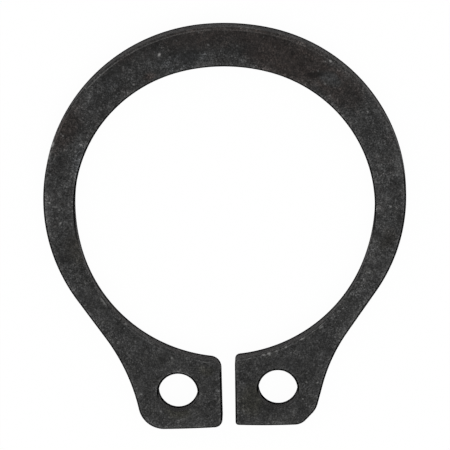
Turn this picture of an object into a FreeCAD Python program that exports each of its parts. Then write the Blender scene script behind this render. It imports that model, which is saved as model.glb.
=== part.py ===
import FreeCAD, Part
import math
import os
from types import SimpleNamespace

# External retaining ring for an 18 mm shaft, stamped from flat spring steel, as it lies free of the shaft.
# The shaft's axis is Z, and the ring lies with its lower face on z = 0. The crown, which is the widest part
# of the band, is toward +Y, and the gap between the two lugs is toward -Y. Right is +X and left is -X.
# Lengths are in mm and angles in degrees. An angle round the ring is counted from the crown.

# Band
seat_radius = 8.25
thickness = 1.2
crown_width = 2.2

# Inner edge: hardening has left the ring a little out of round, flat at the crown and at the flanks above
# the lugs, and full at the shoulders. A flat arc's radius is given by how much it exceeds the seat radius,
# and a full one's by how much it falls short of it.
crown_sink = 0.09
crown_flatness = 1.28
shoulder_fullness = 0.47
flank_flatness = 1.43
seat_slack = 0.05
crown_end_right = 15.3
shoulder_end_right = 97.0
flank_end_right = 113.7
crown_end_left = 13.0
shoulder_end_left = 87.0
flank_end_left = 105.6

# Outer edge: a flat crown, then one long arc down each arm, which heads straight for the neck of the lug
outer_crown_flatness = 3.75
outer_crown_end_right = 11.7
outer_crown_end_left = 5.2
arm_excess_right = 1.2
arm_excess_left = 1.43

# Lugs: each side leans in from the neck to the foot, and the foot rises a little toward the gap and bows out
lug_height_right = 3.82
lug_height_left = 3.96
lug_width_right = 4.22
lug_width_left = 4.36
lug_lean_right = 15.5
lug_lean_left = 11.9
foot_rise_right = 0.03
foot_rise_left = 0.06
foot_bow = 0.04
neck_height_right = 3.84
neck_height_left = 3.37
neck_radius_right = 9.6
neck_radius_left = 11.0

# Gap between the lugs
gap_at_foot = 0.71
gap_at_mouth = 0.77
gap_shift = 0.04

# Corners: the left foot is rounded off, and the right foot is cut off
foot_radius_left = 1.42
foot_cut_height = 0.86
foot_cut_width = 0.59
foot_cut_upper_radius = 1.28
foot_cut_lower_radius = 0.82
heel_radius_right = 0.17
heel_radius_left = 0.45
mouth_radius_right = 0.28
mouth_radius_left = 0.65

# Plier holes
hole_radius = 1.07
hole_inset_right = 2.37
hole_inset_left = 2.42
hole_height = 2.02

# Stamped edges: rolled over on the upper side, and just broken on the lower side
edge_roll = 0.08
edge_break = 0.04

ROUND_OFF = 1e-4

right = SimpleNamespace(
    sign=1,
    inner_ends=(crown_end_right, shoulder_end_right, flank_end_right),
    outer_crown_end=outer_crown_end_right,
    arm_excess=arm_excess_right,
    lug_height=lug_height_right,
    lug_width=lug_width_right,
    lug_lean=lug_lean_right,
    foot_rise=foot_rise_right,
    neck_height=neck_height_right,
    neck_radius=neck_radius_right,
    foot_cut=(foot_cut_width, foot_cut_height),
    foot_radii=(foot_cut_upper_radius, foot_cut_lower_radius),
    heel_radius=heel_radius_right,
    mouth_radius=mouth_radius_right,
    hole_inset=hole_inset_right,
)
left = SimpleNamespace(
    sign=-1,
    inner_ends=(crown_end_left, shoulder_end_left, flank_end_left),
    outer_crown_end=outer_crown_end_left,
    arm_excess=arm_excess_left,
    lug_height=lug_height_left,
    lug_width=lug_width_left,
    lug_lean=lug_lean_left,
    foot_rise=foot_rise_left,
    neck_height=neck_height_left,
    neck_radius=neck_radius_left,
    foot_cut=None,
    foot_radii=(foot_radius_left,),
    heel_radius=heel_radius_left,
    mouth_radius=mouth_radius_left,
    hole_inset=hole_inset_left,
)


def direction(angle, sign):
    """The unit vector at an angle from the crown, round to the side of the given sign."""
    turn = math.radians(angle)
    return FreeCAD.Vector(sign * math.sin(turn), math.cos(turn), 0)


class Bends:
    """Arcs that meet smoothly, from the crown on the Y axis round to one side."""

    def __init__(self, sign, top):
        self.sign = sign
        self.point = FreeCAD.Vector(0, top, 0)
        self.angle = 0
        self.edges = []

    def centre(self, radius):
        """Where the next arc has its centre."""
        return self.point - direction(self.angle, self.sign) * radius

    def bend(self, radius, angle):
        """Add an arc that ends where its own radius points along the given angle."""
        centre = self.centre(radius)
        middle = centre + direction((self.angle + angle) / 2, self.sign) * radius
        end = centre + direction(angle, self.sign) * radius
        self.edges.append(Part.Arc(self.point, middle, end).toShape())
        self.point = end
        self.angle = angle

    def bend_toward(self, radius, target):
        """Add an arc that ends where it heads straight for the target."""
        reach = target - self.centre(radius)
        bearing = math.atan2(self.sign * reach.x, reach.y)
        self.bend(radius, math.degrees(bearing - math.acos(radius / reach.Length)))


def meets_circle(start, along, centre, radius):
    """Where a line first meets a circle."""
    reach = start - centre
    half = reach.dot(along)
    return start + along * (-half - math.sqrt(half**2 - reach.dot(reach) + radius**2))


def gap_edge(side):
    """The heel, at the foot of the lug beside the gap, and the direction from it up to the mouth."""
    foot_level = -(seat_radius + side.lug_height) + side.foot_rise
    heel = FreeCAD.Vector(side.sign * gap_at_foot / 2 + gap_shift, foot_level, 0)
    mouth = FreeCAD.Vector(side.sign * gap_at_mouth / 2 + gap_shift, -seat_radius, 0)
    return heel, (mouth - heel).normalize()


def half_outline(side):
    """The edges of one side, from crown to crown round the lug, and its corners with their radii."""
    heel, up_the_gap = gap_edge(side)
    foot = FreeCAD.Vector(heel.x + side.sign * side.lug_width, heel.y - side.foot_rise, 0)
    up_the_side = direction(side.lug_lean, side.sign)
    neck = foot + up_the_side * (side.neck_height / up_the_side.y)
    foot_corners = [foot]
    if side.foot_cut:
        cut_width, cut_height = side.foot_cut
        along_the_foot = (heel - foot).normalize()
        cut_top = foot + up_the_side * (cut_height / up_the_side.y)
        foot_corners = [cut_top, foot + along_the_foot * cut_width]

    crown = seat_radius - crown_sink
    outer = Bends(side.sign, crown + crown_width)
    outer.bend(seat_radius + outer_crown_flatness, side.outer_crown_end)
    outer.bend_toward(seat_radius + side.arm_excess, neck)

    inner = Bends(side.sign, crown)
    inner_excess = (crown_flatness, -shoulder_fullness, flank_flatness)
    for excess, end in zip(inner_excess, side.inner_ends):
        inner.bend(seat_radius + excess, end)
    seat_bend = seat_radius + seat_slack
    seat_centre = inner.centre(seat_bend)
    mouth = meets_circle(heel, up_the_gap, seat_centre, seat_bend)
    spoke = mouth - seat_centre
    inner.bend(seat_bend, math.degrees(math.atan2(side.sign * spoke.x, spoke.y)))

    down_the_side = [outer.point, neck, *foot_corners]
    lines = [Part.makeLine(a, b) for a, b in zip(down_the_side, down_the_side[1:])]
    bow = FreeCAD.Vector(0, foot_bow, 0)
    lines.append(Part.Arc(foot_corners[-1], (foot_corners[-1] + heel) / 2 - bow, heel).toShape())
    lines.append(Part.makeLine(heel, mouth))
    radii = [side.neck_radius, *side.foot_radii, side.heel_radius, side.mouth_radius]
    return outer.edges + lines + inner.edges, list(zip([neck, *foot_corners, heel, mouth], radii))


def upright_edge(solid, corner):
    """The solid's vertical edge at a corner of the outline."""
    for edge in solid.Edges:
        if all(math.hypot(v.X - corner.x, v.Y - corner.y) < ROUND_OFF for v in edge.Vertexes):
            return edge
    raise ValueError(f"no upright edge at {corner}")


def level_edges(solid, level):
    """The solid's edges that lie wholly at one height."""
    return [e for e in solid.Edges if abs(e.BoundBox.ZMin - level) + abs(e.BoundBox.ZMax - level) < ROUND_OFF]


def plier_hole(side):
    """The tool that cuts one plier hole, placed from the gap's edge and the foot of its lug."""
    heel, _ = gap_edge(side)
    centre = heel + FreeCAD.Vector(side.sign * side.hole_inset, hole_height - side.foot_rise / 2, 0)
    return Part.makeCylinder(hole_radius, thickness, centre)


def retaining_ring():
    """The whole ring: stamped blank with rounded corners, plier holes and eased edges."""
    right_edges, right_corners = half_outline(right)
    left_edges, left_corners = half_outline(left)
    blank = Part.Face(Part.Wire(Part.__sortEdges__(right_edges + left_edges)))
    ring = blank.extrude(FreeCAD.Vector(0, 0, thickness))
    for corner, radius in right_corners + left_corners:
        ring = ring.makeFillet(radius, [upright_edge(ring, corner)])
    ring = ring.cut([plier_hole(right), plier_hole(left)])
    ring = ring.makeFillet(edge_roll, level_edges(ring, thickness))
    return ring.makeChamfer(edge_break, level_edges(ring, 0))


def export(shape, node):
    """Write one node as a single solid."""
    solid = shape.Solids[0]
    print(node, "solids", len(shape.Solids), "valid", solid.isValid(), "volume", round(solid.Volume, 2))
    solid.exportStep(f"parts/{node}.step")


os.makedirs("parts", exist_ok=True)
export(retaining_ring(), "retaining_ring")
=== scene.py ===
# %% [markdown]
# A blackened external retaining ring
# A retaining ring is stamped from spring steel strip, hardened, tumbled to take off the burrs, and blackened.
# It snaps into a groove round a shaft, and pliers in its two holes open it. This notebook dresses the ring
# for a picture: first the camera, then the metal's shape with its sheared wall and knocked edges, then the
# black finish with its worn places, then the light.

import bmesh
import bpy
import math
from collections import namedtuple
from types import SimpleNamespace
from mathutils import Matrix, Vector, kdtree
from mathutils.geometry import delaunay_2d_cdt


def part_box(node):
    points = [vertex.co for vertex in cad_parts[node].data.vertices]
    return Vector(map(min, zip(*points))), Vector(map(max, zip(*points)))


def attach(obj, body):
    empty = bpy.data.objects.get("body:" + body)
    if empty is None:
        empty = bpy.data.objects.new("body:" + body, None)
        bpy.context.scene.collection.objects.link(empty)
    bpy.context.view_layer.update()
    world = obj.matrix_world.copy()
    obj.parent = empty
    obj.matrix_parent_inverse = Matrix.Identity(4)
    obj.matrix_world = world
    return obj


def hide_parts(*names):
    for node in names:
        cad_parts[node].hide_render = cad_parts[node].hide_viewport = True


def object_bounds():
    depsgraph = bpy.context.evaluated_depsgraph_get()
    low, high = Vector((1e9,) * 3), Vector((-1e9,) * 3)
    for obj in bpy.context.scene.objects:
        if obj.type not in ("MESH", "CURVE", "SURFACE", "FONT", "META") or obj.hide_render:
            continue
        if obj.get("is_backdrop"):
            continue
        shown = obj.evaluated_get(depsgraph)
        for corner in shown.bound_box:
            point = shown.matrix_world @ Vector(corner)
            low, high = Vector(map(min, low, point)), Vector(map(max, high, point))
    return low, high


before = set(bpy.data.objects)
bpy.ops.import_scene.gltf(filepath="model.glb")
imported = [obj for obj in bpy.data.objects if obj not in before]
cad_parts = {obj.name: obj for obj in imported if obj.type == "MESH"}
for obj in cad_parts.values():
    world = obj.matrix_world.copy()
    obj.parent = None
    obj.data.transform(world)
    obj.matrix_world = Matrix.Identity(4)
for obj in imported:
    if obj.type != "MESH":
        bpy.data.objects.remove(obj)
cad_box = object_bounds()
MM = 0.001
NODE = "retaining_ring"
lowest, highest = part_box(NODE)
thickness = highest.z - lowest.z
print(f"The ring is {thickness / MM:.2f} mm thick and {(highest.x - lowest.x) / MM:.2f} mm wide.")

# %% [markdown]
# The camera
# The ring lies flat, and the camera looks down on it, leaning a little over the crown, so that it sees the
# outer wall there. A small part is photographed from far away with a long lens, which keeps the near and far
# edges the same size. The lean, the sideways turn and the ring's turn on the table are three turns, one after
# the other, and they make the camera's axes. The camera is then backed off from the point that it aims at.

# %% Make the camera
CAMERA_DISTANCE = 400 * MM
PICTURE_WIDTH = 24.648 * MM
LEAN_OVER_CROWN = math.radians(13.5)
SIDEWAYS_TURN = math.radians(1.0)
RING_TURN = math.radians(1.1)
AIM_RIGHT = 0.035 * MM
AIM_TOWARD_LUGS = 0.818 * MM

turns = (
    Matrix.Rotation(-RING_TURN, 4, "Z")
    @ Matrix.Rotation(SIDEWAYS_TURN, 4, "Y")
    @ Matrix.Rotation(-LEAN_OVER_CROWN, 4, "X")
)
camera_right, camera_up, camera_back = (turns.col[i].to_3d() for i in range(3))
aim = Vector((0, 0, thickness / 2)) + camera_right * AIM_RIGHT - camera_up * AIM_TOWARD_LUGS

camera = bpy.data.objects.new("camera", bpy.data.cameras.new("camera"))
camera.data.lens = camera.data.sensor_width * CAMERA_DISTANCE / PICTURE_WIDTH
camera.data.clip_start = 0.01
camera.data.clip_end = 10
camera.matrix_world = Matrix.Translation(aim + camera_back * CAMERA_DISTANCE) @ turns
bpy.context.scene.collection.objects.link(camera)
bpy.context.scene.camera = camera
print(f"The lens is {camera.data.lens:.0f} mm long.")

# %% [markdown]
# Helpers for node trees
# Both the shape and the finish are drawn with nodes, and node code is easier to read as sums. A Flow is what
# comes out of a node. Adding or multiplying Flows adds the Math nodes that do it, and every other node comes
# from one method of the tree's NodeBook.


# %% A value that flows between nodes
class Flow:
    """A node's output. Sums and products of Flows add their Math nodes."""

    def __init__(self, book, socket):
        self.book = book
        self.socket = socket

    def math(self, operation, *values):
        node = self.book.node("ShaderNodeMath", {"operation": operation}, dict(enumerate(values)))
        return self.book.out(node)

    def __add__(self, other):
        return self.math("ADD", self, other)

    def __sub__(self, other):
        return self.math("SUBTRACT", self, other)

    def __mul__(self, other):
        return self.math("MULTIPLY", self, other)

    def __rsub__(self, other):
        return self.math("SUBTRACT", other, self)

    def __rtruediv__(self, other):
        return self.math("DIVIDE", other, self)

    __radd__ = __add__
    __rmul__ = __mul__


# %% A node tree that is written as a book of nodes
class NodeBook:
    """Adds nodes to one tree."""

    def __init__(self, tree):
        self.tree = tree

    def node(self, kind, settings=None, inputs=None):
        """Add a node, set its settings first, then give its sockets their values or links."""
        node = self.tree.nodes.new(kind)
        for name, value in (settings or {}).items():
            setattr(node, name, value)
        for name, value in (inputs or {}).items():
            if isinstance(value, Flow):
                self.tree.links.new(value.socket, node.inputs[name])
            else:
                node.inputs[name].default_value = value
        return node

    def out(self, node, name=0):
        return Flow(self, node.outputs[name])

    def value(self, kind, settings=None, inputs=None, output=0):
        """The Flow that comes out of a new node."""
        return self.out(self.node(kind, settings, inputs), output)


# %% [markdown]
# The outline
# The construction gives the ring as flat triangles. Its outline is the line where the wall meets the broken
# lower edge. Each corner of that line lies on the true arc, but the arc between two corners is lost. It comes
# back from the way the line turns: two runs of equal length belong to one arc, and the line turns there by
# the same small angle each time. A run with no equal beside it is a straight one. That gives the heading at
# each corner, and a Bezier curve with those headings follows the true outline.

# %% Find the loops of the outline
SAME_PLACE = 0.0001 * MM


def closed_lines(edges):
    """The vertices of each closed line that the edges make, in order."""
    following = {}
    for edge in edges:
        for a, b in (edge.verts, reversed(edge.verts)):
            following.setdefault(a, []).append(b)
    lines = []
    while following:
        line = [next(iter(following))]
        onward = following.pop(line[0])
        while onward:
            line.append(onward[0])
            onward = [v for v in following.pop(line[-1]) if v in following]
        lines.append(line)
    return lines


def meets_the_break(edge):
    """Whether the upright wall and the broken lower edge meet here."""
    lower, upper = sorted((face.normal for face in edge.link_faces), key=lambda normal: normal.z)
    return lower.z < -0.5 and upper.to_2d().length > 0.99


def wall_loops(node):
    """The corners of the outline and of the holes, at the foot of the wall."""
    copy = bmesh.new()
    copy.from_mesh(node.data)
    bmesh.ops.remove_doubles(copy, verts=copy.verts, dist=SAME_PLACE)
    lines = closed_lines([edge for edge in copy.edges if meets_the_break(edge)])
    loops = [[v.co.to_2d() for v in line] for line in lines]
    copy.free()
    return loops


def area(loop):
    """The area inside a loop, which is negative if it runs clockwise."""
    return sum(a.cross(b) for a, b in zip(loop, loop[1:] + loop[:1])) / 2


loops = sorted(wall_loops(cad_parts[NODE]), key=lambda loop: -abs(area(loop)))
for number, loop in enumerate(loops):
    if (area(loop) > 0) != (number == 0):
        loop.reverse()
    print(f"Loop {number} has {len(loop)} corners and an area of {area(loop) / MM**2:.2f} mm2.")

# %% Turn the loops into smooth curves
EQUAL_LENGTHS = 0.02


def headings(loop):
    """The direction in which the true outline passes each corner."""
    runs = [b - a for a, b in zip(loop, loop[1:] + loop[:1])]
    bearings = [math.atan2(run.y, run.x) for run in runs]
    turns_at = [math.remainder(bearings[i] - bearings[i - 1], math.tau) for i in range(len(runs))]
    half_turns = []
    for i, run in enumerate(runs):
        after = (i + 1) % len(runs)
        if abs(runs[i - 1].length / run.length - 1) < EQUAL_LENGTHS:
            half_turns.append(turns_at[i] / 2)
        elif abs(runs[after].length / run.length - 1) < EQUAL_LENGTHS:
            half_turns.append(turns_at[after] / 2)
        else:
            half_turns.append(None)
    found = []
    for i, bearing in enumerate(bearings):
        before, after = half_turns[i - 1], half_turns[i]
        ends = []
        if before is not None:
            ends.append(bearings[i - 1] + before)
        if after is not None:
            ends.append(bearing - after)
        if not ends:
            ends = [bearings[i - 1], bearing]
        spread = math.remainder(ends[-1] - ends[0], math.tau)
        found.append(ends[0] + spread / 2)
    return found


def outline_curve(loops):
    """One curve object with a closed Bezier spline for each loop."""
    curve = bpy.data.curves.new("outline", "CURVE")
    curve.dimensions = "3D"
    curve.resolution_u = 16
    for loop in loops:
        spline = curve.splines.new("BEZIER")
        spline.bezier_points.add(len(loop) - 1)
        spline.use_cyclic_u = True
        for i, (corner, heading) in enumerate(zip(loop, headings(loop))):
            forward = Vector((math.cos(heading), math.sin(heading)))
            point = spline.bezier_points[i]
            point.co = corner.to_3d()
            point.handle_left_type = point.handle_right_type = "FREE"
            point.handle_left = (corner - forward * (corner - loop[i - 1]).length / 3).to_3d()
            point.handle_right = (corner + forward * (loop[(i + 1) % len(loop)] - corner).length / 3).to_3d()
    outline = bpy.data.objects.new("outline", curve)
    bpy.context.scene.collection.objects.link(outline)
    return outline


outline = outline_curve(loops)
print(f"The outline has {len(outline.data.splines)} closed curves.")

# %% [markdown]
# The section of the edge
# The press leaves the same edge all round: the punch side is rolled over, the wall below it is sheared, and
# the lower edge is broken in the tumbler. Its section is a short line with a rounded top and a cut corner, so
# Geometry Nodes can run that one section along the whole outline and both holes. The same tree presses small
# knocks into the rolled edge and tears the lower part of the wall a little, as stamping does.

# %% Draw the section
EDGE_ROLL = 0.08 * MM
EDGE_BREAK = 0.04 * MM
ROLL_STEPS = 8
WALL_STEPS = 9


def section_points():
    """The section from the lower face up to the upper one: distance in from the wall, and height."""
    points = [Vector((EDGE_BREAK, 0)), Vector((EDGE_BREAK / 2, EDGE_BREAK / 2))]
    wall = thickness - EDGE_ROLL - EDGE_BREAK
    points += [Vector((0, EDGE_BREAK + wall * i / WALL_STEPS)) for i in range(WALL_STEPS)]
    for i in range(ROLL_STEPS + 1):
        turn = math.pi / 2 * i / ROLL_STEPS
        inset = EDGE_ROLL * (1 - math.cos(turn))
        points.append(Vector((inset, thickness - EDGE_ROLL * (1 - math.sin(turn)))))
    return points


def section_curve():
    """The section as a curve. The sweep lays X outward and Y downward, so both are turned round."""
    curve = bpy.data.curves.new("edge section", "CURVE")
    curve.dimensions = "3D"
    points = section_points()
    spline = curve.splines.new("POLY")
    spline.points.add(len(points) - 1)
    for point, place in zip(spline.points, points):
        point.co = (-place.x, -place.y, 0, 1)
    section = bpy.data.objects.new("edge section", curve)
    bpy.context.scene.collection.objects.link(section)
    return section


section = section_curve()
print(f"The section has {len(section.data.splines[0].points)} points.")

# %% Build the tree that sweeps the section
SWEEP_INPUTS = {
    "Geometry": "NodeSocketGeometry",
    "Section": "NodeSocketObject",
    "Finish": "NodeSocketMaterial",
    "Spacing": "NodeSocketFloat",
    "Thickness": "NodeSocketFloat",
    "Edge Roll": "NodeSocketFloat",
    "Knock Depth": "NodeSocketFloat",
    "Knock Size": "NodeSocketFloat",
    "Tear Depth": "NodeSocketFloat",
    "Tear Width": "NodeSocketFloat",
    "Tear Height": "NodeSocketFloat",
    "Seed": "NodeSocketFloat",
}


def new_tree(name, inputs):
    """An empty Geometry Nodes tree with its inputs, its book and its input Flows."""
    tree = bpy.data.node_groups.new(name, "GeometryNodeTree")
    for title, kind in inputs.items():
        tree.interface.new_socket(title, in_out="INPUT", socket_type=kind)
    tree.interface.new_socket("Geometry", in_out="OUTPUT", socket_type="NodeSocketGeometry")
    book = NodeBook(tree)
    given = book.node("NodeGroupInput")
    return tree, book, {title: book.out(given, title) for title in inputs}


def keep(book, geometry, name, value):
    """Store a number on every point under a name that the finish can read."""
    return book.value(
        "GeometryNodeStoreNamedAttribute",
        {"data_type": "FLOAT", "domain": "POINT"},
        {"Geometry": geometry, "Name": name, "Value": value},
    )


def stretch(book, value, low, high):
    """0 where the value is at or under low, 1 where it is at or over high, and even in between."""
    return book.value("ShaderNodeMapRange", {}, {"Value": value, "From Min": low, "From Max": high})


def press_in(book, geometry, depth):
    """Move every point in along its own normal."""
    normal = book.value("GeometryNodeInputNormal")
    offset = book.value(
        "ShaderNodeVectorMath", {"operation": "SCALE"}, {"Vector": normal, "Scale": depth * -1}
    )
    return book.value("GeometryNodeSetPosition", {}, {"Geometry": geometry, "Offset": offset})


LONGEST_HOLE_RIM = 10 * MM


def sweep_tree():
    """Runs the section along the outline, then knocks its rolled edge and tears the foot of its wall."""
    tree, book, given = new_tree("stamped edge", SWEEP_INPUTS)
    line = {"Curve": given["Geometry"], "Length": given["Spacing"]}
    rail = book.value("GeometryNodeResampleCurve", {"mode": "LENGTH"}, line)
    rail = book.value("GeometryNodeSetCurveNormal", {"mode": "Z_UP"}, {"Curve": rail})
    along = book.value("GeometryNodeSplineParameter", output="Length")
    rail = keep(book, rail, "along", along * (1 / MM))
    tangent = book.node("ShaderNodeSeparateXYZ", {}, {"Vector": book.value("GeometryNodeInputTangent")})
    rail = keep(book, rail, "facing", book.out(tangent, "X") * -1)
    rail = keep(book, rail, "sideways", book.out(tangent, "Y"))
    length = book.value("GeometryNodeSplineLength", output="Length")
    rail = keep(book, rail, "hole", stretch(book, length, 2 * LONGEST_HOLE_RIM, LONGEST_HOLE_RIM))
    profile = book.value("GeometryNodeObjectInfo", {}, {"Object": given["Section"]}, "Geometry")
    place = book.value("GeometryNodeInputPosition")
    axes = book.node("ShaderNodeSeparateXYZ", {}, {"Vector": place})
    profile = keep(book, profile, "inset", book.out(axes, "X") * (-1 / MM))
    swept = book.value("GeometryNodeCurveToMesh", {}, {"Curve": rail, "Profile Curve": profile})
    swept = book.value("GeometryNodeFlipFaces", {}, {"Mesh": swept})

    height = book.out(axes, "Z")
    up_the_roll = stretch(book, height, given["Thickness"] - given["Edge Roll"], given["Thickness"])
    on_the_roll = up_the_roll * (1 - up_the_roll) * 4
    lumps = book.value(
        "ShaderNodeTexNoise",
        {"noise_dimensions": "4D"},
        {"Vector": place, "W": given["Seed"], "Scale": 1 / given["Knock Size"], "Detail": 1.0},
    )
    knocks = stretch(book, lumps, 0.6, 0.8) * on_the_roll
    swept = press_in(book, swept, knocks * given["Knock Depth"])

    flattened = book.value("ShaderNodeVectorMath", {"operation": "MULTIPLY"}, {0: place, 1: (1, 1, 0.2)})
    ridges = book.value(
        "ShaderNodeTexNoise",
        {"noise_dimensions": "4D"},
        {"Vector": flattened, "W": given["Seed"], "Scale": 1 / given["Tear Width"], "Detail": 2.0},
    )
    torn = stretch(book, height, given["Tear Height"], given["Tear Height"] * 0.7)
    above_the_break = stretch(book, height, EDGE_BREAK, EDGE_BREAK * 2)
    swept = press_in(book, swept, ridges * torn * above_the_break * given["Tear Depth"])

    swept = book.value("GeometryNodeRealizeInstances", {}, {"Geometry": swept})
    swept = book.value("GeometryNodeSetMaterial", {}, {"Geometry": swept, "Material": given["Finish"]})
    book.node("NodeGroupOutput", {}, {"Geometry": swept})
    return tree


def apply_tree(thing, tree, values):
    """The plain mesh that a tree makes of an object. Inputs are set by their sockets' identifiers."""
    modifier = thing.modifiers.new(tree.name, "NODES")
    modifier.node_group = tree
    for item in tree.interface.items_tree:
        if item.in_out == "INPUT" and item.name in values:
            modifier[item.identifier] = values[item.name]
    bpy.context.view_layer.update()
    mesh = bpy.data.meshes.new_from_object(thing.evaluated_get(bpy.context.evaluated_depsgraph_get()))
    thing.modifiers.remove(modifier)
    return mesh


finish = bpy.data.materials.new("blackened spring steel")
edge_mesh = apply_tree(
    outline,
    sweep_tree(),
    {
        "Section": section,
        "Finish": finish,
        "Spacing": 0.07 * MM,
        "Thickness": thickness,
        "Edge Roll": EDGE_ROLL,
        "Knock Depth": 0.012 * MM,
        "Knock Size": 0.35 * MM,
        "Tear Depth": 0.02 * MM,
        "Tear Width": 0.12 * MM,
        "Tear Height": 0.32 * MM,
        "Seed": 4.0,
    },
)
print(f"The swept edge has {len(edge_mesh.polygons)} faces.")

# %% [markdown]
# Marks and stains
# Tumbling, plating baskets and other rings leave marks that belong to this one ring: nicks where bare steel
# shows, and soft patches where the black came out lighter or darker, or browner, bluer or more olive. Each
# has its own place, so they are lists of spots. A nick is pressed into the metal and also rubs off the
# finish. A patch or a tint only changes the finish.

# %% List the marks
# A spot's middle, half length and half width are in mm, and its bearing in degrees is that of its length.
Spot = namedtuple("Spot", "x y length width bearing strength")
NICK_DEPTH = 0.03

NICKS = {
    "chip by the crown": Spot(-3.36, 8.88, 0.13, 0.09, 60, 1.0),
    "dot below it": Spot(-4.79, 7.24, 0.09, 0.07, 0, 0.5),
    "dot at the crown": Spot(-0.7, 9.39, 0.07, 0.07, 0, 0.35),
    "dash at the left shoulder": Spot(-7.74, 3.91, 0.15, 0.06, -25, 0.75),
    "scuff on the left edge": Spot(-9.31, 3.95, 0.2, 0.09, 66, 1.3),
    "scuff below it": Spot(-9.47, 3.45, 0.13, 0.08, 68, 0.7),
    "last scuff on that edge": Spot(-9.54, 3.22, 0.13, 0.08, 70, 0.6),
    "dot on the left shoulder": Spot(-8.71, 4.43, 0.07, 0.06, 0, 0.45),
    "dot on the left arm": Spot(-9.54, 0.68, 0.08, 0.07, 90, 0.6),
    "streak on the left arm": Spot(-9.25, 0.45, 0.2, 0.06, 0, 0.35),
    "dot beside the streak": Spot(-9.03, 0.28, 0.07, 0.06, 0, 0.45),
    "nick on the left arm": Spot(-8.98, -0.48, 0.11, 0.07, 50, 0.65),
    "dot on the right crown": Spot(5.95, 8.38, 0.11, 0.08, -35, 1.0),
    "dot beside it": Spot(5.67, 8.36, 0.06, 0.06, 0, 0.45),
    "dot inside the crown": Spot(5.63, 7.12, 0.08, 0.07, 0, 0.45),
    "dot at the right shoulder": Spot(7.93, 5.54, 0.08, 0.06, -60, 0.6),
    "dot on the right shoulder's edge": Spot(8.52, 5.83, 0.09, 0.06, -60, 0.5),
    "dot on the right arm": Spot(9.11, 0.2, 0.09, 0.07, 0, 0.6),
    "scratch inside the left arm": Spot(-6.72, -4.94, 0.45, 0.06, -55, 0.55),
    "dot on the left neck": Spot(-5.52, -6.21, 0.09, 0.07, 0, 0.5),
    "dot above the left hole": Spot(-3.03, -8.17, 0.1, 0.06, 90, 0.5),
    "dot beside the left hole": Spot(-4.77, -10.2, 0.08, 0.07, 0, 0.45),
    "dot at the left foot": Spot(-3.7, -11.21, 0.09, 0.07, 0, 0.4),
    "dot beside the right hole": Spot(4.95, -9.69, 0.09, 0.06, 20, 0.55),
    "dot nearer the right hole": Spot(4.34, -9.65, 0.07, 0.06, 0, 0.45),
    "dot at the right foot": Spot(4.13, -10.61, 0.07, 0.06, 0, 0.45),
    "nick on the right neck": Spot(5.2, -6.55, 0.17, 0.07, 35, 0.45),
    "nick on the right inner edge": Spot(4.16, -7.2, 0.12, 0.07, 25, 0.7),
    "dot on that edge": Spot(3.24, -7.65, 0.07, 0.05, 20, 0.9),
    "faint dot on that edge": Spot(2.72, -7.86, 0.09, 0.05, 15, 0.5),
    "dash on that edge": Spot(2.32, -7.98, 0.11, 0.05, 14, 0.9),
    "second dash on that edge": Spot(2.0, -8.07, 0.12, 0.05, 12, 0.8),
}

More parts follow.
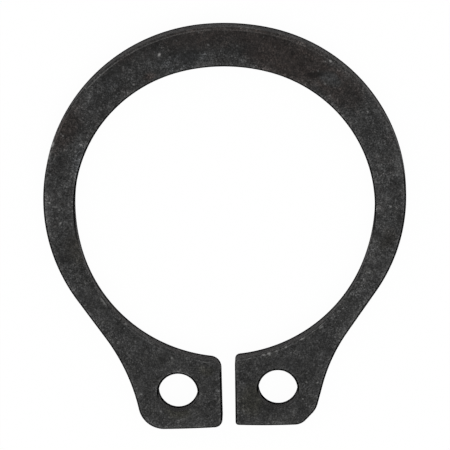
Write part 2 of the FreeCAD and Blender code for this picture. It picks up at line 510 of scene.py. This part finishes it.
# Where the black came out lighter, which is above 0, or darker, which is below 0, in stops
PATCHES = {
    "dark crown": Spot(-1.6, 9.4, 4.6, 1.6, 6, -0.35),
    "dark left end of it": Spot(-4.2, 9.0, 1.4, 0.9, 25, -0.25),
    "dark right of the crown": Spot(2.9, 8.8, 3.1, 1.3, -25, -0.7),
    "dark spot in it": Spot(5.08, 7.63, 0.6, 0.24, 8, -2.3),
    "dark speck beside the spot": Spot(4.66, 7.78, 0.24, 0.17, 0, -0.8),
    "dark streak in the crown": Spot(-1.5, 9.01, 0.45, 0.15, 3, -1.0),
    "dark streak left of it": Spot(-2.55, 8.96, 0.4, 0.14, 0, -0.8),
    "dark streak below it": Spot(-1.6, 8.72, 0.75, 0.12, -17, -0.6),
    "pale patch under the chip": Spot(-3.2, 8.4, 0.8, 0.45, 25, 0.7),
    "dark inner side left of the crown": Spot(-4.95, 7.45, 1.7, 0.5, 35, -0.55),
    "dark right shoulder": Spot(6.9, 6.7, 1.7, 1.0, -46, -0.3),
    "dark patch under the dot on the crown": Spot(5.0, 8.35, 0.6, 0.45, -28, -0.5),
    "dark outer side of the shoulder": Spot(7.5, 6.4, 0.9, 0.5, -45, -0.5),
    "dark outer side below it": Spot(8.5, 4.9, 0.7, 0.5, -60, -0.55),
    "pale patch beside the dark spot": Spot(5.8, 7.5, 0.5, 0.4, 0, 0.25),
    "pale inner side of the crown": Spot(-1.3, 8.4, 2.2, 0.6, 8, 0.4),
    "pale patch under the right shoulder": Spot(6.9, 5.2, 1.1, 0.7, -50, 0.2),
    "pale upper right arm": Spot(8.5, 2.4, 2.1, 1.0, 98, 0.35),
    "pale streak on the right arm": Spot(8.98, 0.4, 0.5, 0.2, 80, 0.4),
    "pale streak below it": Spot(8.66, -0.8, 0.7, 0.32, 80, 0.7),
    "pale patch inside these streaks": Spot(8.66, 0.35, 0.8, 0.42, 85, 0.65),
    "pale outer side of the upper right arm": Spot(9.6, 2.6, 1.5, 0.5, 98, 0.75),
    "dark outer side of the right arm": Spot(9.65, -0.45, 0.9, 0.4, 88, -0.75),
    "dark slant on the right arm": Spot(8.95, -1.6, 0.8, 0.35, 60, -0.4),
    "pale inner side of the right arm": Spot(7.9, -2.2, 2.4, 0.8, 84, 0.45),
    "pale patch where that ends": Spot(7.42, -3.7, 0.75, 0.5, 62, 1.0),
    "dark patch on the right neck": Spot(6.44, -6.11, 0.6, 0.5, 57, -0.55),
    "pale patch over the right lug": Spot(6.1, -7.0, 0.9, 0.8, 50, 0.4),
    "pale patch above the left shoulder": Spot(-7.8, 6.35, 1.1, 0.8, 48, 0.7),
    "dark left shoulder": Spot(-8.7, 4.3, 1.5, 1.0, 68, -0.35),
    "dark patch below it": Spot(-8.65, 3.1, 0.6, 0.4, 75, -0.5),
    "pale patch in the left shoulder": Spot(-7.9, 3.0, 1.1, 0.42, 78, 0.5),
    "pale edge of the left arm": Spot(-9.68, 0.4, 1.2, 0.45, 90, 1.0),
    "pale patch on the left arm": Spot(-9.42, -1.0, 0.55, 0.42, 95, 0.75),
    "dark left arm": Spot(-8.6, -1.9, 1.2, 1.0, 97, -0.25),
    "dark inner side of the left arm": Spot(-7.5, -3.5, 1.2, 0.6, -62, -0.6),
    "pale outer side of the left arm": Spot(-8.48, -4.1, 0.7, 0.45, -62, 0.7),
    "dark patch by the right hole": Spot(1.3, -10.4, 1.2, 0.6, 85, -0.2),
    "dark patch under the right hole": Spot(2.2, -10.87, 0.75, 0.5, 0, -1.0),
    "pale side of the right lug": Spot(5.4, -9.5, 1.4, 0.8, 75, 0.2),
    "dark right lug": Spot(3.0, -10.4, 3.0, 2.2, 0, -0.12),
}
# These aren't marks of the ring. The first seven even out places where the noise came out too light or too
# dark, and the broad ones after them set the tone of a whole neck, arm or foot.
TONE_TRIMS = {
    "inner edge left of the crown": Spot(-5.5, 6.25, 0.7, 0.45, 45, -0.7),
    "inner side of the crown": Spot(-2.4, 7.8, 0.8, 0.4, 15, -0.45),
    "inner edge nearer the crown": Spot(-3.85, 7.3, 0.6, 0.4, 25, -0.5),
    "inner side of the left neck": Spot(-5.95, -5.9, 3.3, 0.5, -47, -0.5),
    "over the left hole": Spot(-1.7, -9.5, 0.9, 0.8, 0, -0.3),
    "over the gap": Spot(0.6, -8.9, 0.8, 1.0, 0, -0.3),
    "beside the left hole": Spot(-1.0, -10.1, 0.3, 0.16, 80, 0.6),
    "right neck": Spot(7.0, -5.2, 2.2, 1.2, 57, 0.35),
    "left arm": Spot(-9.0, 0.5, 2.2, 0.8, 88, 0.2),
    "left neck": Spot(-7.4, -4.9, 2.8, 1.0, -58, 0.2),
    "foot of the left lug": Spot(-3.0, -11.8, 3.4, 0.7, 0, 0.35),
}
# Where the black came out brown, which is above 0, or blue, which is below 0. Over the lugs brown is olive.
TINTS = {
    "left of the crown": Spot(-5.0, 8.6, 2.0, 0.9, 33, 0.3),
    "crown": Spot(-0.8, 9.9, 3.8, 1.0, 6, 0.65),
    "inside the left of the crown": Spot(-5.6, 7.7, 1.8, 0.6, 38, -0.3),
    "right of the crown": Spot(3.6, 8.6, 3.4, 1.6, -25, 1.0),
    "right shoulder": Spot(6.5, 6.9, 1.8, 1.2, -45, 0.7),
    "beside the dark spot": Spot(5.9, 7.4, 0.8, 0.5, -30, -1.3),
    "inner side of the crown": Spot(-2.0, 8.5, 2.6, 0.6, 12, -0.4),
    "inner edge of the crown": Spot(-3.9, 7.7, 0.5, 0.3, 25, 0.8),
    "left shoulder": Spot(-8.6, 4.8, 1.8, 0.9, 62, 0.85),
    "inside the left shoulder": Spot(-7.9, 3.15, 1.1, 0.42, 78, -0.5),
    "left arm": Spot(-8.2, -2.0, 1.1, 0.8, 95, 0.6),
    "right arm": Spot(8.95, -1.6, 0.9, 0.5, 60, 0.6),
    "side of the gap": Spot(1.35, -10.6, 1.3, 0.9, 80, 0.9),
    "under the left hole": Spot(-2.8, -11.25, 0.9, 0.5, 0, 0.9),
    "corner over the left hole": Spot(-1.2, -8.9, 0.6, 0.4, -20, 0.7),
}

# Some of the outline is marked in stretches: which edge, and from and to which angle from the crown. The
# rubbed line has its strength and its distance in from the wall, and the margin inside it has its stops.
# A stretch fades over a few degrees past its ends. A place that is farther than OUTER_EDGE from the shaft's
# axis counts as on the outer edge.
OUTER_EDGE = 9.6
STRETCH_FADE = 6
MARGIN_WIDTH = 0.3
RUBBED = {
    "left of the crown": ("outer", -46, -27, 2.3, 0.125),
    "nearer the crown": ("outer", -27, -4, 1.4, 0.125),
    "right of the crown": ("outer", 3, 40, 0.8, 0.16),
    "left shoulder": ("outer", -80, -52, 1.1, 0.09),
    "over the right lug": ("inner", 138, 178, 1.5, 0.08),
    "over the left lug": ("inner", -172, -140, 0.6, 0.12),
    "inside the right arm": ("inner", 104, 132, 0.35, 0.16),
}
MARGINS = {
    "left of the crown": ("outer", -50, 2, -0.4),
    "right of the crown": ("outer", 2, 30, -0.3),
    "right shoulder": ("outer", 44, 62, 0.2),
}
print(f"There are {len(NICKS)} nicks and {len(PATCHES) + len(TONE_TRIMS) + len(TINTS)} stains.")

# %% [markdown]
# The two flat faces
# The swept edge is open at the top and the bottom. Each face is filled with even triangles, so that a nick
# can be pressed into it anywhere: a lattice of points, with more points where there is a nick, joined to the
# edge's own rim points by a Delaunay triangulation. It is worked out in mm, where its tolerances suit.

# %% Fill the faces
FACE_SPACING = 0.12
NICK_STEPS = 7
NICK_MARGIN = 1.5
NICK_CLEARING = 1.9
INSIDE_WITH_HOLES = 2
TOLERANCE = 1e-6


def along_and_across(spot, place):
    """How far a place lies along and across a spot, in half lengths and half widths."""
    turn = math.radians(spot.bearing)
    x, y = place[0] - spot.x, place[1] - spot.y
    forward = x * math.cos(turn) + y * math.sin(turn)
    sideways = y * math.cos(turn) - x * math.sin(turn)
    return forward / spot.length, sideways / spot.width


def lattice():
    """Evenly spaced places over the ring's box, in mm."""
    row_gap = FACE_SPACING * math.sqrt(3) / 2
    places = []
    for row in range(int((highest.y - lowest.y) / MM / row_gap) + 1):
        for column in range(int((highest.x - lowest.x) / MM / FACE_SPACING) + 1):
            x = lowest.x / MM + FACE_SPACING * (column + row % 2 / 2)
            places.append(Vector((x, lowest.y / MM + row * row_gap)))
    return places


def nick_places(spot):
    """A fine grid of places over one nick, in mm."""
    turn = math.radians(spot.bearing)
    forward = Vector((math.cos(turn), math.sin(turn)))
    sideways = Vector((-forward.y, forward.x))
    steps = [NICK_MARGIN * (2 * i / (NICK_STEPS - 1) - 1) for i in range(NICK_STEPS)]
    centre = Vector((spot.x, spot.y))
    return [centre + forward * spot.length * u + sideways * spot.width * v for u in steps for v in steps]


def clear_of_nicks(place):
    """Whether a place is outside the finer grid of every nick."""
    return all(max(map(abs, along_and_across(spot, place))) > NICK_CLEARING for spot in NICKS.values())


def face_places():
    """The lattice, cleared where a nick brings its own finer grid."""
    clear = [place for place in lattice() if clear_of_nicks(place)]
    return clear + [place for spot in NICKS.values() for place in nick_places(spot)]


def fill_face(ring, level, places):
    """Close the open rims at one level of the ring with triangles."""
    boundary = [e for e in ring.edges if e.is_boundary]
    edges = [e for e in boundary if all(abs(v.co.z - level) < SAME_PLACE for v in e.verts)]
    rims = closed_lines(edges)
    corners = [v for rim in rims for v in rim]
    near = kdtree.KDTree(len(corners))
    for i, corner in enumerate(corners):
        near.insert((*(corner.co.to_2d() / MM), 0), i)
    near.balance()
    points = [v.co.to_2d() / MM for v in corners]
    points += [p for p in places if near.find(p.to_3d())[2] > FACE_SPACING / 2]
    order = iter(range(len(corners)))
    outlines = [[next(order) for _ in rim] for rim in rims]
    found, _, triangles, origins, _, _ = delaunay_2d_cdt(points, [], outlines, INSIDE_WITH_HOLES, TOLERANCE)
    inset, *carried = (ring.verts.layers.float[name] for name in ("inset", "facing", "sideways", "hole"))
    made = {}
    for triangle in triangles:
        for i in triangle:
            if i not in made and origins[i] and min(origins[i]) < len(corners):
                made[i] = corners[min(origins[i])]
            elif i not in made:
                _, nearest, gap = near.find(found[i].to_3d())
                made[i] = ring.verts.new((*(found[i] * MM), level))
                made[i][inset] = EDGE_ROLL / MM + gap
                for layer in carried:
                    made[i][layer] = corners[nearest][layer]
        ring.faces.new([made[i] for i in triangle])


def closed_ring(edge_mesh):
    """The swept edge with both faces filled, as a bmesh whose faces point outward."""
    ring = bmesh.new()
    ring.from_mesh(edge_mesh)
    places = face_places()
    fill_face(ring, thickness, places)
    fill_face(ring, 0, places)
    bmesh.ops.recalc_face_normals(ring, faces=ring.faces)
    return ring


ring = closed_ring(edge_mesh)
open_edges = sum(not e.is_manifold for e in ring.edges)
volume = ring.calc_volume() / MM**3
print(f"The ring has {len(ring.faces)} faces, {open_edges} open edges and {volume:.1f} mm3.")

# %% Press the nicks and paint the stains
SEARCH_MARGIN = 1.2


def spread(spot, tree):
    """Each vertex that a spot reaches and how strongly, from the middle of the spot out to its edge."""
    reach = max(spot.length, spot.width) * SEARCH_MARGIN
    for place, index, _ in tree.find_range((spot.x, spot.y, thickness / MM), reach):
        u, v = along_and_across(spot, place)
        share = max(0, 1 - u * u - v * v)
        if share:
            yield index, share * share * (3 - 2 * share) * spot.strength


def window(value, low, high, soft):
    """1 between low and high, falling evenly to 0 over a soft margin outside."""
    return max(0, min(1, (value - low) / soft + 1, (high - value) / soft + 1))


def stretches_here(place, stretches):
    """The stretches of one list that reach a place on the ring, each with how fully."""
    angle = math.degrees(math.atan2(place.x, place.y))
    edge = "outer" if place.length / MM > OUTER_EDGE else "inner"
    for side, low, high, *rest in stretches.values():
        share = window(angle, low, high, STRETCH_FADE)
        if side == edge and share:
            yield share, *rest


def finish_ring(ring):
    """Press the nicks in, then paint on every vertex how bare, how stained and how tinted it is."""
    names = ("rubbed", "rub inset", "bare", "stain", "tint")
    rubbed, rub_inset, bare, stain, tint = (ring.verts.layers.float.new(name) for name in names)
    inset = ring.verts.layers.float["inset"]
    tree = kdtree.KDTree(len(ring.verts))
    ring.verts.ensure_lookup_table()
    for vertex in ring.verts:
        tree.insert(vertex.co / MM, vertex.index)
        vertex[rub_inset] = EDGE_ROLL / MM
        for share, strength, distance in stretches_here(vertex.co, RUBBED):
            vertex[rubbed] = share * strength
            vertex[rub_inset] = distance
        for share, stops in stretches_here(vertex.co, MARGINS):
            vertex[stain] += share * stops * window(vertex[inset], 0.0, MARGIN_WIDTH, MARGIN_WIDTH)
    tree.balance()
    for layer, spots in ((stain, PATCHES), (stain, TONE_TRIMS), (tint, TINTS)):
        for spot in spots.values():
            for index, share in spread(spot, tree):
                ring.verts[index][layer] += share
    for spot in NICKS.values():
        for index, share in spread(spot, tree):
            vertex = ring.verts[index]
            vertex[bare] = max(vertex[bare], share)
            vertex.co.z -= share * NICK_DEPTH * MM


finish_ring(ring)
mesh = bpy.data.meshes.new("ring")
ring.to_mesh(mesh)
ring.free()
mesh.shade_smooth()
mesh.materials.append(finish)
piece = bpy.data.objects.new("ring", mesh)
bpy.context.scene.collection.objects.link(piece)
for helper in (outline, section):
    bpy.data.objects.remove(helper)
print(f"The finished mesh has {len(mesh.polygons)} faces.")

# %% [markdown]
# The black finish
# The black is a thin oxide on steel. It is nearly even, but never flat: it is mottled softly, browner or more
# olive in some places and bluer in others, with a fine grain and small grey dots where grit has touched it.
# All of this is noise on Object coordinates at sizes read off the real thing, and the numbers that the mesh
# carries say where the finish is stained, tinted or rubbed.

# %% Read what the finish goes by
def noise(book, place, size, detail=2.0, roughness=0.5, seed=0.0):
    """Soft noise whose lumps are about the given size in mm. It lies round 0 and mostly within 0.3 of it."""
    flow = book.value(
        "ShaderNodeTexNoise",
        {"noise_dimensions": "4D"},
        {"Vector": place, "W": seed, "Scale": 1 / size, "Detail": detail, "Roughness": roughness},
    )
    return flow - 0.5


def band(book, value, low, high, soft):
    """1 between low and high, falling to 0 over a soft margin outside."""
    return stretch(book, value, low - soft, low) * stretch(book, value, high + soft, high)


def mix(book, factor, a, b):
    """One colour turning into another."""
    return book.value("ShaderNodeMix", {"data_type": "RGBA"}, {0: factor, 6: a, 7: b}, 2)


def attribute(book, name):
    """A number that the mesh carries."""
    return book.value("ShaderNodeAttribute", {"attribute_name": name}, {}, "Fac")


def read_place(book):
    """What the finish goes by at each point: its place in mm and the numbers that the mesh carries there."""
    place = book.value("ShaderNodeTexCoord", output="Object")
    place = book.value("ShaderNodeVectorMath", {"operation": "SCALE"}, {"Vector": place, "Scale": 1 / MM})
    axes = book.node("ShaderNodeSeparateXYZ", {}, {"Vector": place})
    names = ("along", "inset", "facing", "sideways", "hole", "bare", "stain", "tint", "rubbed")
    here = SimpleNamespace(**{name: attribute(book, name) for name in names})
    here.rub_inset = attribute(book, "rub inset")
    here.place = place
    here.toward_crown = book.out(axes, "Y")
    here.height = book.out(axes, "Z")
    here.on_wall = stretch(book, here.inset, 0.02, 0.0)
    here.on_roll = stretch(book, here.height, 1.0, 1.1)
    here.faces_away = stretch(book, here.facing, 0.25, 0.05)
    return here


# %% [markdown]
# Tints and tones
# The oxide's thickness gives it its tint, so the tint wanders softly, and olive takes the place of brown
# from the arms down to the lugs. Light and dark are worked out in stops, where 1 doubles the light, because
# stops simply add up: four sizes of noise, the stains, then the wall, which shearing streaked and which is
# made lighter toward its top in two soft steps. The edges also get painted light by the side that they face:
# toward the crown the roll is painted a little lighter, and on the other sides a painted highlight, a light
# lip, lies just inside it.

# %% Tint the black
BLACK = (0.0246, 0.0245, 0.0243, 1)
BROWN_BLACK = (0.0276, 0.0218, 0.0198, 1)
OLIVE_BLACK = (0.0256, 0.0250, 0.0205, 1)
BLUE_BLACK = (0.0226, 0.0244, 0.0262, 1)
WALL_BLACK = (0.0253, 0.0240, 0.0236, 1)


def black_colour(book, here):
    """The black itself, before it is made lighter or darker."""
    tint = here.tint + noise(book, here.place, 0.5, 5.0, 0.8, seed=2.0) * 2.0
    brown = mix(book, stretch(book, here.toward_crown, 1.0, -3.0), BROWN_BLACK, OLIVE_BLACK)
    colour = mix(book, stretch(book, tint, 0.05, 1.1), BLACK, brown)
    colour = mix(book, stretch(book, tint, -0.05, -1.0), colour, BLUE_BLACK)
    return mix(book, here.on_wall, colour, WALL_BLACK)


# %% Make it lighter and darker
CLOUD_SIZE = 1.1
CLOUD_STOPS = 2.0
MOTTLE_SIZE = 0.4
MOTTLE_STOPS = 2.8
GRAIN_SIZE = 0.13
GRAIN_STOPS = 3.9
GRIT_SIZE = 0.06
GRIT_STOPS = 6.4
STREAK_SIZE = 0.25
STREAK_STOPS = 2.5
PAINTED_ROLL_LIGHT_STOPS = 0.3
PAINTED_LIP_HIGHLIGHT_STOPS = 0.8


def wall_stops(book, here):
    """The wall's slanting streaks, and two soft steps lighter toward its top."""
    slanted = book.value(
        "ShaderNodeCombineXYZ", {}, {"X": here.along + here.height * 0.6, "Y": here.height * 0.5}
    )
    streaks = noise(book, slanted, STREAK_SIZE, seed=6.0)
    lit = stretch(book, here.height, 0.25, 0.4) * 0.34 + stretch(book, here.height, 0.6, 0.85) * 0.2
    return here.on_wall * (streaks * STREAK_STOPS + lit)


def black_stops(book, here, grain, mottle):
    """How much lighter or darker than its own colour the black is, in stops, with painted light and a painted
    highlight on the edges.
    """
    clouds = noise(book, here.place, CLOUD_SIZE, seed=1.0)
    grit = noise(book, here.place, GRIT_SIZE, 1.0, seed=5.0)
    busy = stretch(book, noise(book, here.place, 1.3, seed=9.0), -0.15, 0.15)
    on_lugs = stretch(book, here.toward_crown, -5.0, -8.0)
    flat = stretch(book, here.inset - here.rub_inset, -0.02, 0.04)
    stops = (grain * GRAIN_STOPS + grit * GRIT_STOPS) * (busy * 0.6 + 0.75) * (1 + here.stain * 0.15)
    stops = (stops + clouds * CLOUD_STOPS + mottle * MOTTLE_STOPS) * (1 - on_lugs * 0.09)
    stops = stops + here.stain * (flat * 0.8 + 0.2)
    stops = stops + wall_stops(book, here)
    # Painted light: the roll outside the rubbed line is made lighter where it does not face away.
    stops = stops + (1 - flat) * (1 - here.on_wall) * (1 - here.faces_away) * PAINTED_ROLL_LIGHT_STOPS
    # Painted highlight: a light lip just inside the roll, on the edges that face away.
    lip_highlight = stretch(book, here.inset, 0.08, 0.1) * stretch(book, here.inset, 0.3, 0.12) * here.faces_away
    return stops + lip_highlight * here.on_roll * PAINTED_LIP_HIGHLIGHT_STOPS


# %% [markdown]
# Grit, wear and painted shade
# Grit leaves small grey dots, so a Voronoi texture gives each of its cells a dot, and a cell's random colour
# says how strong the dot is. Along the edges the black is rubbed thin in a line that wanders and breaks up.
# The foot of the walls that face the crown, and the roll along the other ones, get painted shade: a
# near-black line that is wider in the holes and on sideways walls. It is a dark diffuse shader of its own
# that is mixed over the finish.

# %% Add the grit, the wear and the painted shade
GRIT_GREY = (0.18, 0.18, 0.18, 1)
DOT_STRENGTH = 0.45
LINE_HALF_WIDTH = 0.015
FOOT_HEIGHT = 0.25


def with_grit(book, here, colour):
    """The colour with small grey dots, at most one in each cell of a Voronoi texture."""
    cells = book.node("ShaderNodeTexVoronoi", {}, {"Vector": here.place, "Scale": 3.4})
    chance = book.value("ShaderNodeSeparateColor", {}, {"Color": book.out(cells, "Color")}, "Red")
    dots = stretch(book, book.out(cells, "Distance"), 0.24, 0.04) * stretch(book, chance, 0.55, 1.0)
    return mix(book, dots * DOT_STRENGTH, colour, GRIT_GREY)


def rubbed_share(book, here):
    """How far the black is rubbed off in the line along the edges."""
    ragged = book.value("ShaderNodeCombineXYZ", {}, {"X": here.along, "Y": here.inset * 4})
    dashes = stretch(book, noise(book, ragged, 0.35, 3.0, 0.7, seed=7.0), 0.04, 0.2)
    wander = noise(book, book.value("ShaderNodeCombineXYZ", {}, {"X": here.along}), 1.5, seed=8.0) * 0.03
    line = band(book, here.inset + wander - here.rub_inset, -LINE_HALF_WIDTH, LINE_HALF_WIDTH, 0.02)
    return line * here.on_roll * here.rubbed * (dashes * 0.8 + 0.04)


def painted_shade_share(book, here):
    """How much painted shade a place gets. At the wall's foot the painted shade reaches higher where the wall
    turns sideways, and in the holes.
    """
    reach = FOOT_HEIGHT / here.facing.math("MAXIMUM", here.facing, 0.5)
    faces_crown = stretch(book, here.facing, -0.15, 0.0)
    foot = here.on_wall * faces_crown * stretch(book, here.height - here.hole * 0.12, reach * 1.25, reach)
    wider = here.hole * 0.03 + stretch(book, here.sideways, 0.4, 0.9) * (1 - here.hole) * 0.012
    # Painted shade along the roll of the walls that face away, wider in the holes and on sideways walls.
    rim = stretch(book, here.inset - wider, 0.085, 0.07) * here.on_roll * here.faces_away
    return foot.math("MAXIMUM", foot, rim * (1 - here.bare))


# %% Mix the finish
BARE_STEEL = (0.30, 0.297, 0.29, 1)
# Near-black colour of the painted shade at the wall's foot and along the roll.
PAINTED_SHADE_BLACK = (0.002, 0.002, 0.002, 1)
BUMP_HEIGHT = 0.006 * MM


def mix_finish(material):
    material.use_nodes = True
    material.node_tree.nodes.clear()
    book = NodeBook(material.node_tree)
    here = read_place(book)
    mottle = noise(book, here.place, MOTTLE_SIZE, seed=3.0)
    grain = noise(book, here.place, GRAIN_SIZE, roughness=0.6, seed=4.0)
    rubbed = rubbed_share(book, here)

    colour = black_colour(book, here)
    stops = black_stops(book, here, grain, mottle)
    tone = stops.math("POWER", 2.0, stops)
    colour = book.value("ShaderNodeVectorMath", {"operation": "SCALE"}, {"Vector": colour, "Scale": tone})
    colour = with_grit(book, here, colour)
    colour = mix(book, rubbed, colour, BARE_STEEL)
    colour = mix(book, here.bare * 0.75, colour, BARE_STEEL)

    bumps = book.value(
        "ShaderNodeBump", {}, {"Strength": 1.0, "Distance": BUMP_HEIGHT, "Height": grain + mottle}
    )
    shader = book.node(
        "ShaderNodeBsdfPrincipled",
        {},
        {
            "Base Color": colour,
            "Roughness": 0.6 - grain * 0.3 - rubbed * 0.15 + here.on_wall * 0.15,
            "Metallic": here.bare * 0.8,
            "Specular IOR Level": 0.1,
            "Normal": bumps,
        },
    )
    # Painted shade: a near-black diffuse shader mixed over the finish at the wall's foot and along the roll.
    shade_bsdf = book.value("ShaderNodeBsdfDiffuse", {}, {"Color": PAINTED_SHADE_BLACK})
    shade_share = painted_shade_share(book, here)
    surface = book.value("ShaderNodeMixShader", {}, {0: shade_share, 1: book.out(shader), 2: shade_bsdf})
    book.node("ShaderNodeOutputMaterial", {}, {"Surface": surface})


mix_finish(finish)
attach(piece, "root")
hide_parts(NODE)
print(f"The finish has {len(finish.node_tree.nodes)} nodes.")

# %% [markdown]
# The table and the light
# The ring lies on a pale table under soft light from all round, with one large lamp beyond the lugs. The
# camera sees the table and the sky as white through Light Path, so the picture's background is white without
# more light on the ring. The table still shows a little of the ring's shadow.

# %% Lay the table
TABLE_GAP = 0.002 * MM
TABLE_SIZE = 3.0
TABLE_GREY = (0.95, 0.95, 0.95, 1)
WHITE = (1, 1, 1, 1)
SHADOW_SHARE = 0.03


def seen_directly(book):
    """1 for rays from the camera and rays mirrored or bent on their way, 0 for light that is gathered."""
    path = book.node("ShaderNodeLightPath")
    names = ("Is Camera Ray", "Is Glossy Ray", "Is Transmission Ray")
    from_camera, mirrored, bent = (book.out(path, name) for name in names)
    seen = from_camera + mirrored + bent
    return seen.math("MINIMUM", seen, 1.0)


def make_table():
    half = TABLE_SIZE / 2
    corners = [(-half, -half), (half, -half), (half, half), (-half, half)]
    mesh = bpy.data.meshes.new("table")
    mesh.from_pydata([(x, y, -TABLE_GAP) for x, y in corners], [], [(0, 1, 2, 3)])
    material = bpy.data.materials.new("pale table")
    material.use_nodes = True
    material.node_tree.nodes.clear()
    book = NodeBook(material.node_tree)
    lit = book.value("ShaderNodeBsdfDiffuse", {}, {"Color": TABLE_GREY})
    white = book.value("ShaderNodeEmission", {}, {"Color": WHITE, "Strength": 1.0})
    share = seen_directly(book) * (1 - SHADOW_SHARE)
    surface = book.value("ShaderNodeMixShader", {}, {0: share, 1: lit, 2: white})
    book.node("ShaderNodeOutputMaterial", {}, {"Surface": surface})
    mesh.materials.append(material)
    table = bpy.data.objects.new("table", mesh)
    bpy.context.scene.collection.objects.link(table)
    return table


table = make_table()
table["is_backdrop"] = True

# %% Light the scene
SKY_STRENGTH = 0.8
LAMP_STRENGTH = 0.8
LAMP_WIDTH = math.radians(40)
LAMP_FROM = Vector((0.2, -0.5, 1))


def light_sky():
    world = bpy.data.worlds.new("sky")
    world.use_nodes = True
    world.node_tree.nodes.clear()
    book = NodeBook(world.node_tree)
    lit = book.value("ShaderNodeBackground", {}, {"Color": WHITE, "Strength": SKY_STRENGTH})
    white = book.value("ShaderNodeBackground", {}, {"Color": WHITE, "Strength": 1.0})
    surface = book.value("ShaderNodeMixShader", {}, {0: seen_directly(book), 1: lit, 2: white})
    book.node("ShaderNodeOutputWorld", {}, {"Surface": surface})
    bpy.context.scene.world = world


light_sky()
lamp = bpy.data.objects.new("soft lamp", bpy.data.lights.new("soft lamp", "SUN"))
lamp.data.energy = LAMP_STRENGTH
lamp.data.angle = LAMP_WIDTH
lamp.rotation_mode = "QUATERNION"
lamp.rotation_quaternion = LAMP_FROM.to_track_quat("Z", "Y")
bpy.context.scene.collection.objects.link(lamp)
bpy.context.scene.view_settings.view_transform = "Standard"
print("The sky and one soft lamp light the ring.")

# %% Compare the boxes and finish
boxes = {"cad": cad_box, "visual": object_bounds()}
{name: [list(corner) for corner in box] for name, box in boxes.items()}
